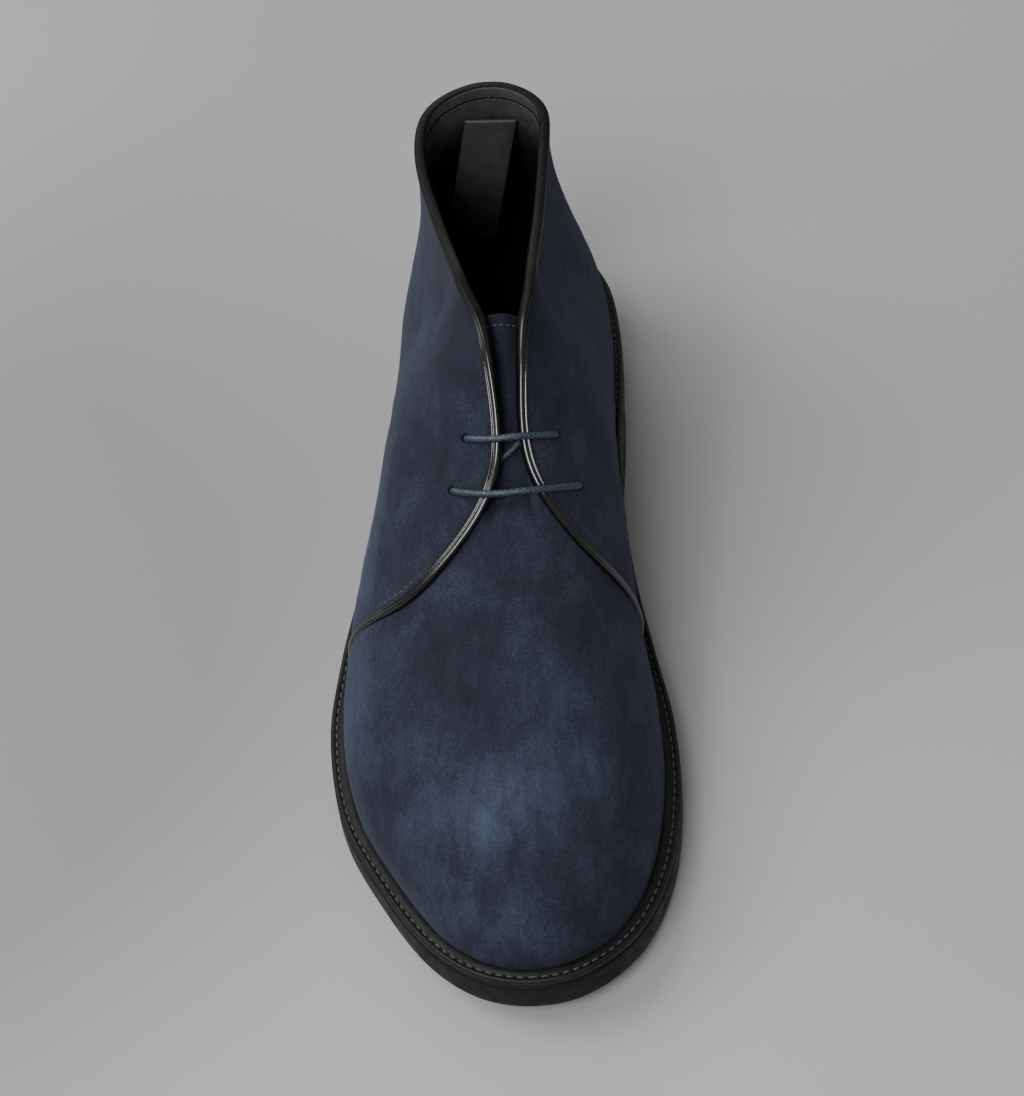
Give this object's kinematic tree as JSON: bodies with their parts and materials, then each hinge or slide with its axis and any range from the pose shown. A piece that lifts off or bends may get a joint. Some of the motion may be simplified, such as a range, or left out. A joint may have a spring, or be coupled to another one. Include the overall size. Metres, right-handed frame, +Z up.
{
  "type": "chukka boot",
  "caption": "Right ankle-high suede chukka boot with a low front lacing over a tongue, bound collar, welted rubber sole and low stacked heel.",
  "frame": {"origin": "middle of the bottom of the boot's box, on the floor that it stands on", "axes": "+Z up, the toe points along -Y, and -X is the outer (little-toe) side"},
  "size_m": [0.1126, 0.306, 0.1305],
  "materials": {
    "suede": "navy suede with a brushed, blotchy nap",
    "lining": "smooth black lining leather, satin",
    "welt": "black welt with a row of dark stitches",
    "sole_rubber": "satin black rubber",
    "lace": "thin waxed round cord, dark blue"
  },
  "bodies": {
    "root": {"outsole": "sole_rubber", "heel": "sole_rubber", "heel_lift": "sole_rubber", "welt": "welt", "insole": "lining", "upper": "suede", "tongue": "suede", "lace": "lace", "pull_tab": "lining"}
  },
  "joints": []
}
